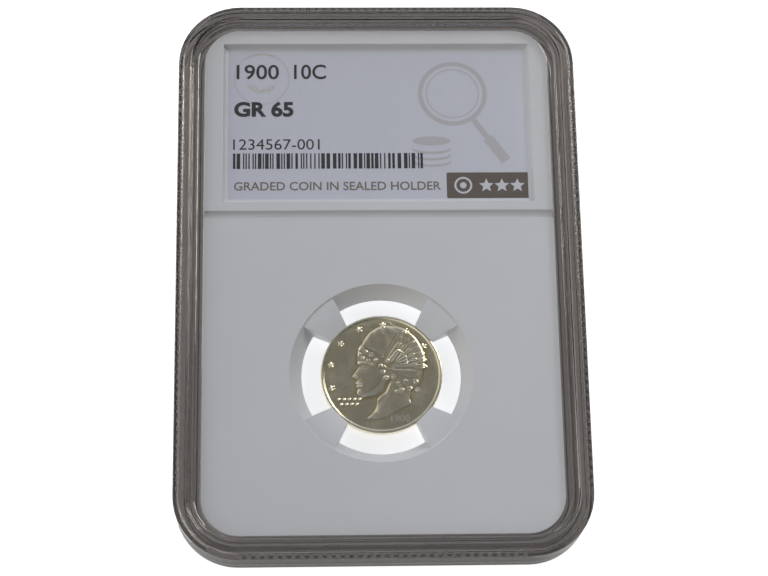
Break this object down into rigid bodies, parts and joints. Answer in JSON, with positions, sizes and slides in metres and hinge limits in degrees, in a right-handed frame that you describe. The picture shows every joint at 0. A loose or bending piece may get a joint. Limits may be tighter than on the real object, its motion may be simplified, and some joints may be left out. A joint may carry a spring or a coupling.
{
  "type": "graded coin slab",
  "caption": "Sealed clear two-shell coin holder: a white core grips a small coin by four prongs in a tapered round opening, under framed paper labels.",
  "frame": {"origin": "middle of the holder's footprint, on the flat of the rear stacking ridge that it lies on", "axes": "+X to the right across the front face, +Y along the holder towards the label end, +Z out of the front face"},
  "size_m": [0.0604, 0.0856, 0.008],
  "materials": {
    "clear_shell": "clear polished polystyrene",
    "weld": "remelted clear polystyrene, slightly cloudy",
    "white_insert": "satin white moulding",
    "label_paper": "coated card",
    "gold_foil": "thin pale gold foil",
    "silver_foil": "thin diffraction foil",
    "coin_silver": "struck silver with light golden toning"
  },
  "bodies": {
    "root": {"front_shell": "clear_shell", "rear_shell": "clear_shell", "weld_bead": "weld", "label_frame": "white_insert", "coin_core": "white_insert", "front_label": "label_paper", "rear_label": "label_paper", "foil_seal": "gold_foil", "hologram_foil": "silver_foil", "coin": "coin_silver"}
  },
  "joints": []
}
